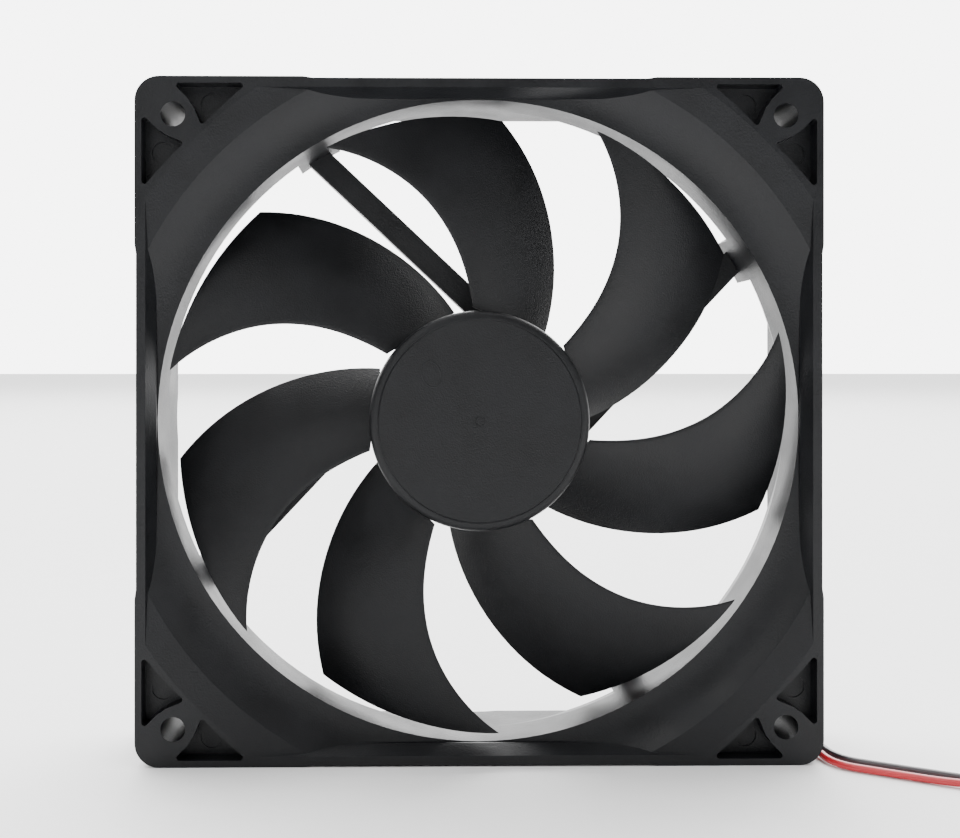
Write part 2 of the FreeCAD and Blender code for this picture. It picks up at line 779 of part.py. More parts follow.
def build_rotor_core():
    face = "dims.hub_face + dims.hub_wall"
    yoke, wall = "dims.yoke_radius", "dims.yoke_wall"
    turned_part(
        "rotor_yoke",
        [
            ("dims.boss_radius", face),
            (f"{yoke} - 1", face),
            (yoke, f"{face} + 1"),
            (yoke, "dims.yoke_end"),
            (f"{yoke} - {wall}", "dims.yoke_end"),
            (f"{yoke} - {wall}", f"{face} + {wall}"),
            ("dims.boss_radius", f"{face} + {wall}"),
        ],
        {1: "1"},
    )
    tube_part("ring_magnet", "dims.magnet_bore", "dims.magnet_radius", "dims.magnet_front", "dims.magnet_end")
    shaft, groove = "dims.shaft_radius", "dims.shaft_radius - dims.shaft_groove"
    turned_part(
        "shaft",
        [
            ("0", face),
            (shaft, face),
            (shaft, "dims.clip_front"),
            (groove, "dims.clip_front"),
            (groove, "dims.clip_front + dims.clip_thickness"),
            (shaft, "dims.clip_front + dims.clip_thickness"),
            (shaft, "dims.shaft_end - 0.3"),
            (f"{shaft} - 0.3", "dims.shaft_end"),
            ("0", "dims.shaft_end"),
        ],
    )
    tube_part("shaft_boss", shaft, "dims.boss_radius", face, "dims.boss_end")
    slinger_end = "dims.boss_end + dims.slinger_thickness"
    tube_part("oil_slinger", shaft, "dims.slinger_radius", "dims.boss_end", slinger_end)
    clip_rear = "dims.clip_front + dims.clip_thickness"
    clip = body("shaft_clip")
    ring = sketch(clip, "clip_outline", depth="dims.clip_front")
    circle(ring, "dims.clip_radius")
    circle(ring, groove)
    pad(clip, ring, "dims.clip_thickness", "clip_ring")
    split = sketch(clip, "clip_split_outline", depth="dims.clip_front")
    box_outline(split, "0", "dims.clip_radius + 1", "-0.35", "0.35")
    pocket(clip, split, f"{clip_rear} - dims.clip_front", "clip_split")
    finish(clip, "shaft_clip")


# ---- Bearing -------------------------------------------------------------------------------


def build_bearing():
    tube_part("bearing_tube", "dims.tube_bore", "dims.tube_radius", "dims.tube_front", "dims.base_floor")
    chamfer = "0.25"
    bore, radius = "dims.bearing_bore", "dims.bearing_radius"
    turned_part(
        "sleeve_bearing",
        [
            (f"{bore} + {chamfer}", "dims.bearing_front"),
            (radius, "dims.bearing_front"),
            (radius, "dims.bearing_end"),
            (f"{bore} + {chamfer}", "dims.bearing_end"),
            (bore, f"dims.bearing_end - {chamfer}"),
            (bore, f"dims.bearing_front + {chamfer}"),
        ],
    )
    tube_part("oil_seal_ring", "dims.seal_bore", radius, "dims.seal_front", "dims.seal_end")
    tube_part("thrust_pad", "0", radius, "dims.thrust_front", "dims.thrust_end")
    tube_part("bearing_end_cap", "0", radius, "dims.thrust_end", "dims.base_floor")


# ---- Stator --------------------------------------------------------------------------------


def build_laminations():
    """Thin four-pole steel discs, a coat of varnish apart."""
    thick = "dims.lamination_thickness"
    front = "dims.stack_front"
    disc = cylinder("lamination_disc", "dims.stack_radius", front, thick)
    bore = cylinder("lamination_bore", "dims.stack_bore", front, thick)
    slot = cut(
        "slot_ring",
        cylinder("slot_outside", "dims.slot_outer", front, thick),
        cylinder("slot_inside", "dims.stack_core", front, thick),
    )
    rear = f"{front} + {thick}"
    reach, pole = "dims.stack_radius", "dims.pole_width / 2"
    arms = joined(
        "pole_arms",
        block("pole_arms_across", f"-({reach})", reach, front, rear, f"-({pole})", pole),
        block("pole_arms_upright", f"-({pole})", pole, front, rear, f"-({reach})", reach),
    )
    slots = cut("slots", slot, arms)
    mouth = "dims.slot_mouth / 2"
    opening = block("slot_mouth", "dims.slot_outer - 1", f"{reach} + 1", front, rear, f"-({mouth})", mouth)
    doc.recompute()
    openings = []
    for number in range(4):
        turn = Placement(Vector(), Rotation(Vector(0, 1, 0), 45 + 90 * number))
        copy = doc.addObject("Part::Feature", f"slot_opening_{number + 1}")
        copy.Shape = opening.Shape.copy()
        copy.Placement = turn.multiply(opening.Placement)
        openings.append(copy)
    one = cut("lamination", disc, joined("lamination_cuts", bore, slots, *openings))
    doc.recompute()
    pitch = value("(dims.stack_end - dims.stack_front) / dims.lamination_count")
    stack = doc.addObject("Part::Feature", "stator_laminations")
    count = int(value("dims.lamination_count"))
    copies = [one.Shape.translated(Vector(0, pitch * number, 0)) for number in range(count)]
    stack.Shape = Part.makeCompound(copies)
    return finish(stack, "stator_laminations")


def build_bobbin(name, plate_from, plate_to, wall_end, rim_end):
    """Half of the coils' insulator: a plate on the stack's face with four arms, walls down the
    sides of each pole, and an upright flange at each arm's end."""
    arm = "dims.pole_width / 2 + dims.bobbin_wall"
    pole = "dims.pole_width / 2 + 0.02"
    plate_low, plate_high = sorted((plate_from, plate_to), key=value)
    wall_low, wall_high = sorted((plate_to, wall_end), key=value)
    rim_low, rim_high = sorted((plate_to, rim_end), key=value)
    core = cylinder(f"{name}_core", "dims.bobbin_core", rim_low, f"({rim_high}) - ({rim_low})")
    hollow = cylinder(f"{name}_hollow", "dims.stack_bore + 0.05", rim_low, f"({rim_high}) - ({rim_low})")
    start, end = "dims.stack_core + 0.1", "dims.bobbin_end"
    arm_plate = block(f"{name}_arm_plate", "5", end, plate_low, plate_high, f"-({arm})", arm)
    wall_far = "dims.slot_outer - 0.4"
    wall_a = block(f"{name}_wall_a", start, wall_far, wall_low, wall_high, pole, arm)
    wall_b = block(f"{name}_wall_b", start, wall_far, wall_low, wall_high, f"-({arm})", f"-({pole})")
    half = "dims.pole_width"
    flange = block(f"{name}_flange", "dims.bobbin_flange", end, rim_low, rim_high, f"-({half})", half)
    quarter = joined(f"{name}_quarter", arm_plate, wall_a, wall_b, flange)
    quarters = quarter_turns(f"{name}_arm", quarter)
    made = cut(name, joined(f"{name}_solid", core, *quarters), hollow)
    return finish(made, name)


def build_bobbins():
    middle = "(dims.stack_front + dims.stack_end) / 2"
    thick, rim = "dims.bobbin_thickness", "dims.bobbin_rim"
    front, rear = "dims.stack_front", "dims.stack_end"
    build_bobbin("bobbin_front", f"{front} - {thick}", front, f"{middle} - 0.01", f"{front} - {rim}")
    build_bobbin("bobbin_rear", f"{rear} + {thick}", rear, f"{middle} + 0.01", f"{rear} + {rim}")


def build_windings():
    """One block of wire round each pole, between the bobbins' cores and flanges."""
    arm = "dims.pole_width / 2 + dims.bobbin_wall + 0.02"
    outer = f"{arm} + dims.coil_thickness"
    plate_front = "dims.stack_front - dims.bobbin_thickness - 0.02"
    plate_rear = "dims.stack_end + dims.bobbin_thickness + 0.02"
    front, rear = f"{plate_front} - dims.coil_thickness", f"{plate_rear} + dims.coil_thickness"
    around = block("coil_outside", "dims.coil_inner", "dims.coil_outer", front, rear, f"-({outer})", outer)
    rounded = doc.addObject("Part::Fillet", "coil_rounded")
    rounded.Base = around
    doc.recompute()
    rounded.Edges = [
        (n, 1.2, 1.2) for n, edge in enumerate(around.Shape.Edges, 1) if edge.BoundBox.XLength > 1
    ]
    past = ("dims.coil_inner - 1", "dims.coil_outer + 1")
    inside = block("coil_inside", *past, plate_front, plate_rear, f"-({arm})", arm)
    coil = cut("coil", rounded, inside)
    coils = quarter_turns("coil_at_pole", coil)
    group = doc.addObject("Part::Compound", "stator_windings")
    group.Links = coils
    return finish(group, "stator_windings")


# ---- Driver board ----------------------------------------------------------------------------


def on_board(angle, radius="dims.pin_circle"):
    """The two coordinates, as formulas, of a place on the board."""
    return f"{radius} * cos({angle})", f"{radius} * sin({angle})"


PIN_ANGLES = (45, 135, 315)
LEAD_PADS = {"red": ("-7.0", "-11.0"), "black": ("-4.2", "-12.4")}


def build_board():
    rear = "dims.board_front + dims.board_thickness"
    board = body("circuit_board")
    face = sketch(board, "board_outline", depth="dims.board_front")
    circle(face, "dims.board_radius")
    circle(face, "dims.tube_radius + 0.15")
    pad(board, face, "dims.board_thickness", "board_disc")
    for angle in PIN_ANGLES:
        hole = sketch(board, f"pin_hole_outline_{angle}", depth="dims.board_front")
        circle(hole, "dims.pin_side / 2 + dims.pin_hole_gap", *on_board(angle))
        pocket(board, hole, "dims.board_thickness", f"pin_hole_{angle}")
    finish(board, "circuit_board")

    pins, joints = [], []
    half = "dims.pin_side / 2"
    pin_front = "dims.stack_end + dims.bobbin_rim"
    for angle in PIN_ANGLES:
        x, z = on_board(angle)
        sides = (f"{x} - {half}", f"{x} + {half}"), (f"{z} - {half}", f"{z} + {half}")
        pin = block(f"pin_{angle}", *sides[0], pin_front, "dims.pin_rear", *sides[1])
        pins.append(pin)
        joints.append(solder_joint(f"pin_joint_{angle}", x, z, rear, hole="dims.pin_side * 0.75"))
    for colour, (x, z) in LEAD_PADS.items():
        joints.append(solder_joint(f"{colour}_joint", x, z, rear, hole=None))
    for name, members in (("terminal_pins", pins), ("solder_joints", joints)):
        group = doc.addObject("Part::Compound", name)
        group.Links = members
        finish(group, name)

    # Each component's two sides across X, its height off the board and its two sides across Z
    components = {
        "hall_driver_chip": ("-2.0", "2.0", "1.1", "12.2", "15.2"),
        "chip_capacitor": ("-11.3", "-9.3", "0.9", "4.2", "5.5"),
        "chip_resistor": ("9.0", "11.0", "0.5", "-5.5", "-4.3"),
        "supply_diode": ("7.4", "10.0", "0.95", "4.0", "5.5"),
    }
    for name, (x_from, x_to, height, z_from, z_to) in components.items():
        low, high = rear, f"{rear} + {height}"
        if name == "hall_driver_chip":
            low, high = f"dims.board_front - {height}", "dims.board_front"
        chip = block(f"{name}_block", x_from, x_to, low, high, z_from, z_to)
        soft = doc.addObject("Part::Chamfer", name)
        soft.Base = chip
        doc.recompute()
        soft.Edges = [(n, 0.12, 0.12) for n in range(1, len(chip.Shape.Edges) + 1)]
        finish(soft, name)


def solder_joint(name, x, z, rear, hole):
    """A low cone of solder on the board's rear face, round a pin or over a lead's end."""
    cone = doc.addObject("Part::Cone", name)
    cone.Placement = Placement(Vector(), Rotation(Vector(1, 0, 0), -90))
    cone.setExpression("Radius1", "dims.joint_radius")
    cone.setExpression("Radius2", "dims.joint_radius * 0.45")
    cone.setExpression("Height", "dims.joint_height")
    for axis, formula in (("x", x), ("y", rear), ("z", z)):
        cone.setExpression(f"Placement.Base.{axis}", formula)
    if hole is None:
        return cone
    bore = cylinder(f"{name}_bore", hole, rear, "dims.joint_height")
    bore.setExpression("Placement.Base.x", x)
    bore.setExpression("Placement.Base.z", z)
    return cut(f"{name}_round_pin", cone, bore)


def build_label():
    rear = "dims.base_rear - dims.label_recess"
    tube_part("rear_label", "0", "dims.label_radius - 0.3", rear, f"{rear} + 0.15")


# ---- Leads and connector ---------------------------------------------------------------------
# The leads and all that is on them are drawn where they lie, with Y as in the finished part.
# Each lead runs from the board along its strut's channel, round behind the corner's column and
# out of the frame's corner. Outside it bends forward, lies on the floor, is put away in a coil
# and ends in the connector.

RED_INNER = [
    (-7.0, 6.05, -11.0),
    (-7.4, 8.3, -14.4),
    (-5.55, 8.9, -20.45),
    (36.3, 8.9, -59.9),
    (43.0, 3.0, -65.5),
    (51.5, -2.0, -68.2),
    (62.0, -3.1, -68.42),
]
BLACK_INNER = [
    (-4.2, 6.05, -12.4),
    (-4.6, 8.5, -15.2),
    (-4.45, 8.9, -19.3),
    (37.4, 8.9, -58.7),
    (44.1, 4.2, -64.9),
    (53.5, 0.9, -67.6),
    (62.0, 0.218, -68.055),
]
RED_TO_COIL = [
    (62.0, -3.1, -68.42),
    (70.6, -4.0, -68.6),
    (71.0, -14.1, -69.2),
    (79.6, -19.0, -69.2),
    (91.4, -25.8, -69.2),
    (101.5, -28.3, -69.1),
    (110.0, -27.4, -68.9),
]
BLACK_TO_COIL = [
    (62.0, 0.218, -68.055),
    (72.2, -0.6, -68.6),
    (73.0, -10.6, -69.2),
    (81.1, -15.4, -69.2),
    (93.2, -21.9, -69.2),
    (102.5, -25.4, -69.1),
    (110.5, -25.6, -68.9),
]
RED_TO_CONNECTOR = [
    (121.2, -18.0, -68.4),
    (121.1, -11.0, -67.6),
    (120.77, -4.6, -67.125),
    (120.77, 0.9, -67.125),
]
BLACK_TO_CONNECTOR = [
    (119.3, -17.0, -67.6),
    (118.6, -10.0, -67.3),
    (118.23, -4.6, -67.125),
    (118.23, 0.9, -67.125),
]


def rounded_route(name, points):
    """Straight runs joined by tangent arcs, each as large as its two runs allow."""
    points = [Vector(*point) for point in points]
    edges, radii, here = [], [], points[0]
    for before, corner, after in zip(points, points[1:], points[2:]):
        back, on = before - corner, after - corner
        half_turn = (math.pi - back.getAngle(on)) / 2
        reach = 0.45 * min(back.Length, on.Length)
        radii.append(reach / math.tan(half_turn))
        start = corner + Vector(back).normalize() * reach
        stop = corner + Vector(on).normalize() * reach
        inward = (Vector(back).normalize() + Vector(on).normalize()).normalize()
        middle = corner + inward * (radii[-1] / math.cos(half_turn) - radii[-1])
        edges += [Part.LineSegment(here, start).toShape(), Part.Arc(start, middle, stop).toShape()]
        here = stop
    edges.append(Part.LineSegment(here, points[-1]).toShape())
    print(f"{name}: radii", ", ".join(f"{radius:.1f}" for radius in radii))
    return Part.Wire(edges)


def lead_tube(name, points):
    """A round tube along a route, with its volume checked against its section and length."""
    radius = value("dims.lead_diameter") / 2
    path = rounded_route(name, points)
    section = Part.Wire(Part.makeCircle(radius, Vector(*points[0]), path.Edges[0].tangentAt(0)))
    tube = path.makePipeShell([section], True, False)
    expected = math.pi * radius**2 * path.Length
    if abs(tube.Volume / expected - 1) > 0.01:
        raise RuntimeError(f"{name}: volume {tube.Volume:.1f} is not {expected:.1f}")
    print(f"{name}: {path.Length:.1f} mm")
    return tube


def build_leads():
    routes = {
        "red_lead_inner": [RED_INNER],
        "black_lead_inner": [BLACK_INNER],
        "red_lead": [RED_TO_COIL, RED_TO_CONNECTOR],
        "black_lead": [BLACK_TO_COIL, BLACK_TO_CONNECTOR],
    }
    for name, stretches in routes.items():
        tubes = [lead_tube(name, points) for points in stretches]
        lead = doc.addObject("Part::Feature", name)
        lead.Shape = tubes[0] if len(tubes) == 1 else Part.makeCompound(tubes)
        finish_in_place(lead, name)

    coil = body("lead_coil")
    section = sketch(coil, "coil_section")
    ring, wide, high = "dims.coil_ring", "dims.coil_half_width", "dims.coil_half_height"
    corner = "dims.lead_diameter"
    outline(
        section,
        [
            (f"{ring} - {wide} + {corner}", f"-({high})"),
            (f"{ring} + {wide} - {corner}", f"-({high})"),
            (f"{ring} + {wide}", f"{corner} - {high}"),
            (f"{ring} + {wide}", f"{high} - {corner}"),
            (f"{ring} + {wide} - {corner}", high),
            (f"{ring} - {wide} + {corner}", high),
            (f"{ring} - {wide}", f"{high} - {corner}"),
            (f"{ring} - {wide}", f"{corner} - {high}"),
        ],
        {1: corner, 3: corner, 5: corner, 7: corner},
    )
    turned(coil, section, "coil_ring")
    finish_in_place(coil, "lead_coil")
    coil.setExpression("Placement.Base.x", "dims.coil_centre_x")
    coil.setExpression("Placement.Base.y", "dims.coil_centre_y")
    coil.setExpression("Placement.Base.z", f"dims.floor_height + {high}")


def build_connector():
    """A two-way housing with a locking rib on its top and a crimped contact in each way."""
    housing = body("connector_housing")
    width, height = "dims.housing_width / 2", "dims.housing_height"
    face = sketch(housing, "housing_outline", depth="0")
    step, rib = "0.9", "1.6"
    outline(
        face,
        [
            (f"-({width})", "0"),
            (width, "0"),
            (width, f"{height} - {step}"),
            (rib, f"{height} - {step}"),
            (rib, height),
            (f"-{rib}", height),
            (f"-{rib}", f"{height} - {step}"),
            (f"-({width})", f"{height} - {step}"),
        ],
    )
    pad(housing, face, "dims.housing_length", "housing_block")
    side = "dims.contact_side / 2"
    middle = "dims.housing_height / 2"
    for way, sign in (("left", "-"), ("right", "")):
        centre = f"{sign}dims.contact_pitch / 2"
        opening = sketch(housing, f"{way}_way_outline", depth="0")
        across = (f"{centre} - {side}", f"{centre} + {side}")
        up = (f"{middle} - {side}", f"{middle} + {side}")
        box_outline(opening, *across, *up)
        pocket(housing, opening, "dims.housing_length", f"{way}_way")
    finish_in_place(housing, "connector_housing")
    place_at_housing(housing)

    contacts = []
    outer = f"({side} - dims.contact_gap)"
    hollow = f"({outer} - dims.contact_wall)"
    box_from, box_to = "4.6", "dims.housing_length - 0.8"
    for way, sign in (("left", "-"), ("right", "")):
        centre = f"{sign}dims.contact_pitch / 2"
        shell, inside = (
            block(
                f"{way}_contact_{part}",
                f"{centre} - {reach}",
                f"{centre} + {reach}",
                box_from,
                box_to,
                f"{middle} - ({reach})",
                f"{middle} + {reach}",
            )
            for part, reach in (("shell", outer), ("inside", hollow))
        )
        barrel, barrel_bore = (
            cylinder(f"{way}_barrel_{part}", radius, "1.0", f"{box_from} - 0.8")
            for part, radius in (("wall", outer), ("bore", "dims.lead_diameter / 2 + dims.crimp_gap"))
        )
        for round_part in (barrel, barrel_bore):
            round_part.setExpression("Placement.Base.x", centre)
            round_part.setExpression("Placement.Base.z", middle)
        box, grip = cut(f"{way}_box", shell, inside), cut(f"{way}_barrel", barrel, barrel_bore)
        contacts.append(joined(f"{way}_crimp", box, grip))
    group = doc.addObject("Part::Compound", "crimp_terminals")
    group.Links = contacts
    finish_in_place(group, "crimp_terminals")
    place_at_housing(group)


def place_at_housing(obj):
    obj.setExpression("Placement.Base.x", "dims.housing_centre_x")
    obj.setExpression("Placement.Base.y", "dims.housing_front")
    obj.setExpression("Placement.Base.z", "dims.floor_height")


build_frame()
build_impeller()
build_rotor_core()
build_bearing()
build_laminations()
build_bobbins()
build_windings()
build_board()
build_label()
build_leads()
build_connector()

# ---- Check and export ------------------------------------------------------------------------

doc.recompute()
for obj in doc.Objects:
    if "Invalid" in obj.State or "Error" in obj.State:
        raise RuntimeError(f"{obj.Name} failed: {obj.State}")
for name, obj in STEP_FILES:
    if obj.Shape.isNull() or not obj.Shape.isValid():
        raise RuntimeError(f"{name} has no valid shape")
os.makedirs("parts", exist_ok=True)
for name, obj in STEP_FILES:
    obj.Shape.exportStep(f"parts/{name}.step")
print(f"{len(STEP_FILES)} sub-parts")
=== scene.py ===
"""The case fan's looks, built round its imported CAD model."""

import json
import math

import bpy
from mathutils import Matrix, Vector


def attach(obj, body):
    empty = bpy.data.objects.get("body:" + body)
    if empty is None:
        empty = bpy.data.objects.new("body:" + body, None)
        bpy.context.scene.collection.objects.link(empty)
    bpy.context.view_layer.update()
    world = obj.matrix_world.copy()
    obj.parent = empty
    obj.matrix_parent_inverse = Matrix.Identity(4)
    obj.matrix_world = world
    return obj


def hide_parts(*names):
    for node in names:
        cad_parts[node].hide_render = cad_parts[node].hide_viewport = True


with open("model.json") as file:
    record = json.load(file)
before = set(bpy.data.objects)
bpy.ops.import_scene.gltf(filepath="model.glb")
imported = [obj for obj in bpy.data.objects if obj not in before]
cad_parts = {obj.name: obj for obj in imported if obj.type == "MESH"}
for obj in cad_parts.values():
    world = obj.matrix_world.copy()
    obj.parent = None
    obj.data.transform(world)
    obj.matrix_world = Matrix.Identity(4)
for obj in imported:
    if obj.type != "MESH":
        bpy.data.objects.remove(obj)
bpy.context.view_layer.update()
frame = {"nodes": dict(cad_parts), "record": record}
nodes = frame["nodes"]

MM = 0.001
IMAGE_WIDTH = 960
SENSOR_MM = 36.0


# ---- Camera ---------------------------------------------------------------------------------

FOCAL_PX = 1182.0
camera_data = bpy.data.cameras.new("camera")
camera_data.sensor_width = SENSOR_MM
camera_data.sensor_fit = "HORIZONTAL"
camera_data.lens = FOCAL_PX / IMAGE_WIDTH * SENSOR_MM
camera_data.shift_x = 0.0599
camera_data.shift_y = -0.0579
camera_data.clip_start = 0.01
camera_data.clip_end = 20
camera = bpy.data.objects.new("camera", camera_data)
bpy.context.collection.objects.link(camera)
CAMERA_PLACE = (-14.63, -252.12, 11.79)
CAMERA_TURN = -0.69
camera.location = [c * MM for c in CAMERA_PLACE]
camera.rotation_euler = (math.radians(90), 0, math.radians(CAMERA_TURN))
bpy.context.scene.camera = camera


# ---- Leads ----------------------------------------------------------------------------------

LEAD_DIAMETER = 1.5
COIL_CENTRE = (112.0, -19.0)
POINTS_PER_TURN = 16
LOWER, UPPER, TOP = -69.25, -67.65, -66.05
# Point in the winding, radius and height. Each lead spirals in on its own layer, rises inside the
# turns, and goes back out over them.
RED_COIL = [(0, 11.0, UPPER), (56, 5.6, UPPER), (59, 5.5, TOP), (64, 9.4, TOP), (67, 9.4, TOP)]
BLACK_COIL = [(0, 11.0, LOWER), (60, 5.2, LOWER), (62, 5.0, UPPER), (64, 5.1, TOP), (67, 7.4, TOP)]

RED_OUT = [
    (62.0, -3.1, -68.42), (70.6, -4.0, -68.6), (71.0, -14.1, -69.2), (79.6, -19.0, -69.2),
    (91.4, -25.8, -69.2), (101.5, -29.7, -68.2),
]
BLACK_OUT = [
    (62.0, 0.218, -68.055), (72.2, -0.6, -68.6), (73.0, -10.6, -69.2), (81.1, -15.4, -69.2),
    (93.2, -21.9, -69.2), (102.8, -28.1, -69.25),
]
RED_IN = [
    (121.2, -18.0, TOP), (121.1, -11.0, -66.3), (120.77, -4.6, -67.125), (120.77, 0.9, -67.125),
]
BLACK_IN = [
    (119.3, -17.0, TOP), (118.6, -10.0, -66.1), (118.23, -4.6, -67.125), (118.23, 0.9, -67.125),
]


def coil_points(stages):
    """The coil's points, between the stages' radii and heights in turn."""
    points = []
    for (start, radius, height), (end, next_radius, next_height) in zip(stages, stages[1:]):
        for n in range(start, end):
            share = (n - start) / (end - start)
            here = radius + (next_radius - radius) * share
            angle = math.radians(-90 + 360 * n / POINTS_PER_TURN)
            x, y = COIL_CENTRE[0] + here * math.cos(angle), COIL_CENTRE[1] + here * math.sin(angle)
            points.append((x, y, height + (next_height - height) * share))
    return points


def lead_curve(name, points):
    curve = bpy.data.curves.new(name, "CURVE")
    curve.dimensions = "3D"
    curve.bevel_depth = 1.0     # times each point's radius
    curve.bevel_resolution = 5
    curve.use_fill_caps = True
    spline = curve.splines.new("NURBS")
    spline.points.add(len(points) - 1)
    for point, place in zip(spline.points, points):
        point.co = (*(c * MM for c in place), 1)
        point.radius = LEAD_DIAMETER / 2 * MM
    spline.order_u = 3
    spline.use_endpoint_u = True
    spline.resolution_u = 8
    obj = bpy.data.objects.new(name, curve)
    bpy.context.collection.objects.link(obj)
    return obj


red_cord = lead_curve("red_lead_wire", RED_OUT + coil_points(RED_COIL) + RED_IN)
black_cord = lead_curve("black_lead_wire", BLACK_OUT + coil_points(BLACK_COIL) + BLACK_IN)
for cord, replaced, start, slot in (
    (red_cord, "red_lead", RED_OUT[0], "red_insulation"),
    (black_cord, "black_lead", BLACK_OUT[0], "black_insulation"),
):
    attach(cord, "stator")
    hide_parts(replaced, "lead_coil")


# ---- Materials ------------------------------------------------------------------------------


def ramp(tree, source, low, high, start=0.35, stop=0.65):
    """The source's range from start to stop, mapped to a number between low and high."""
    node = tree.nodes.new("ShaderNodeMapRange")
    node.inputs["From Min"].default_value = start
    node.inputs["From Max"].default_value = stop
    node.inputs["To Min"].default_value = low
    node.inputs["To Max"].default_value = high
    tree.links.new(source, node.inputs["Value"])
    return node.outputs["Result"]


def noise(tree, scale, detail=3.0, stretch=None):
    """Noise in the object's own coordinates, per metre; stretch gives each axis its own scale."""
    coordinates = tree.nodes.new("ShaderNodeTexCoord")
    source = coordinates.outputs["Object"]
    if stretch:
        mapping = tree.nodes.new("ShaderNodeMapping")
        mapping.inputs["Scale"].default_value = stretch
        tree.links.new(source, mapping.inputs["Vector"])
        source = mapping.outputs["Vector"]
    texture = tree.nodes.new("ShaderNodeTexNoise")
    texture.inputs["Scale"].default_value = scale
    texture.inputs["Detail"].default_value = detail
    tree.links.new(source, texture.inputs["Vector"])
    return texture.outputs["Fac"]


def bump(tree, height, strength, distance, under=None):
    node = tree.nodes.new("ShaderNodeBump")
    node.inputs["Strength"].default_value = strength
    node.inputs["Distance"].default_value = distance
    tree.links.new(height, node.inputs["Height"])
    if under:
        tree.links.new(under, node.inputs["Normal"])
    return node.outputs["Normal"]


DRIFT_DETAIL, GRAIN_DETAIL = 4, 2
COLOUR_STOPS = (0.3, 0.7)
GRAIN_SHARE = 0.5           # of the roughness; the drift has the rest
ROUGHNESS_FROM, ROUGHNESS_TO = 0.2, 0.8
DRIFT_RELIEF, GRAIN_RELIEF = 0.25, 0.6
DRIFT_DEPTH = 2             # times the grain's


def finish(name, dark, light, rough, grain, depth,
           mottling=90, metallic=0.0, specular=0.5, coat=0.0, stretch=None):
    """A material whose colour and roughness drift over the surface, over a fine grain in relief.

    dark and light are the colour's ends, rough the least and greatest roughness, grain the
    grain's scale per metre, and depth its height in metres.
    """
    material = bpy.data.materials.new(name)
    material.use_nodes = True
    tree = material.node_tree
    shader = tree.nodes["Principled BSDF"]
    shader.inputs["Metallic"].default_value = metallic
    shader.inputs["Specular IOR Level"].default_value = specular
    shader.inputs["Coat Weight"].default_value = coat
    drift = noise(tree, mottling, DRIFT_DETAIL)
    colour = tree.nodes.new("ShaderNodeValToRGB")
    for stop, position, shade in zip(colour.color_ramp.elements, COLOUR_STOPS, (dark, light)):
        stop.position = position
        stop.color = (*shade, 1)
    tree.links.new(drift, colour.inputs["Fac"])
    tree.links.new(colour.outputs["Color"], shader.inputs["Base Color"])
    fine = noise(tree, grain, GRAIN_DETAIL, stretch)
    mixed = tree.nodes.new("ShaderNodeMath")
    mixed.operation = "MULTIPLY_ADD"
    mixed.inputs[1].default_value = GRAIN_SHARE
    tree.links.new(fine, mixed.inputs[0])
    tree.links.new(ramp(tree, drift, 0.0, 1 - GRAIN_SHARE), mixed.inputs[2])
    roughness = ramp(tree, mixed.outputs["Value"], *rough, ROUGHNESS_FROM, ROUGHNESS_TO)
    tree.links.new(roughness, shader.inputs["Roughness"])
    coarse = bump(tree, drift, DRIFT_RELIEF, depth * DRIFT_DEPTH)
    tree.links.new(bump(tree, fine, GRAIN_RELIEF, depth, coarse), shader.inputs["Normal"])
    return material


def grey(level):
    """A dark grey of that level, very slightly blue."""
    return level * 0.92, level * 0.98, level * 1.14


